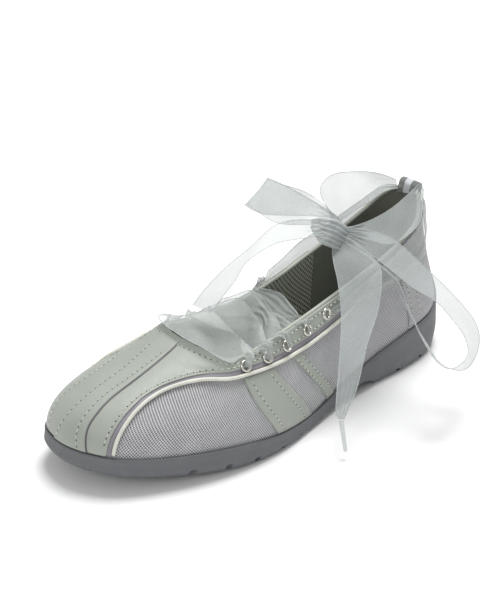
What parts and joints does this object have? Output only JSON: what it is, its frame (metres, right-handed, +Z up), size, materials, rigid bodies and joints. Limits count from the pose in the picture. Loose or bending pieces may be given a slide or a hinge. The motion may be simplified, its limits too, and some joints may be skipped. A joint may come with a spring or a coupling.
{
  "type": "lace-up sneaker",
  "caption": "Low ballet-style lace-up sneaker: leather and mesh upper with piped seams, sheer ribbon lacing tied in a bow, heel pull loop and grooved rubber sole.",
  "frame": {"origin": "centre of the footprint without the free ribbon, on the floor under the sole", "axes": "+Y from toe to heel, so the toe points along -Y; +X to the outer (lateral) side of this left shoe; +Z up"},
  "size_m": [0.1384, 0.2578, 0.1134],
  "materials": {
    "sole_rubber": "matt mid grey",
    "footbed": "smooth pale sage",
    "mesh_cloth": "open woven mesh, lilac grey",
    "smooth_leather": "smooth sage grey with dotted stitching",
    "piping_cord": "off-white satin cord",
    "eyelet_metal": "polished silver",
    "webbing": "ribbed webbing",
    "sheer_ribbon": "sheer woven ribbon, slightly shiny",
    "ribbon_tip": "clear rolled tip"
  },
  "bodies": {
    "root": {"sole": "sole_rubber", "insole": "footbed", "upper": "mesh_cloth", "vamp": "smooth_leather", "toe_strip": "smooth_leather", "heel_counter": "mesh_cloth", "pull_loop": "webbing", "piping_lateral": "piping_cord", "band_wide_lateral": "smooth_leather", "band_narrow_lateral": "smooth_leather", "eyelet_lateral_1": "eyelet_metal", "eyelet_lateral_2": "eyelet_metal", "eyelet_lateral_3": "eyelet_metal", "eyelet_lateral_4": "eyelet_metal", "eyelet_lateral_5": "eyelet_metal", "ribbon_wrap_lateral": "sheer_ribbon", "piping_medial": "piping_cord", "band_wide_medial": "smooth_leather", "band_narrow_medial": "smooth_leather", "eyelet_medial_1": "eyelet_metal", "eyelet_medial_2": "eyelet_metal", "eyelet_medial_3": "eyelet_metal", "eyelet_medial_4": "eyelet_metal", "eyelet_medial_5": "eyelet_metal", "ribbon_wrap_medial": "sheer_ribbon", "ribbon_lacing": "sheer_ribbon", "ribbon_return_lateral": "sheer_ribbon", "ribbon_return_medial": "sheer_ribbon", "ribbon_knot": "sheer_ribbon", "bow_loop_left": "sheer_ribbon", "bow_loop_right": "sheer_ribbon", "ribbon_strand": "sheer_ribbon", "ribbon_tail": "sheer_ribbon", "aglet": "ribbon_tip"}
  },
  "joints": []
}
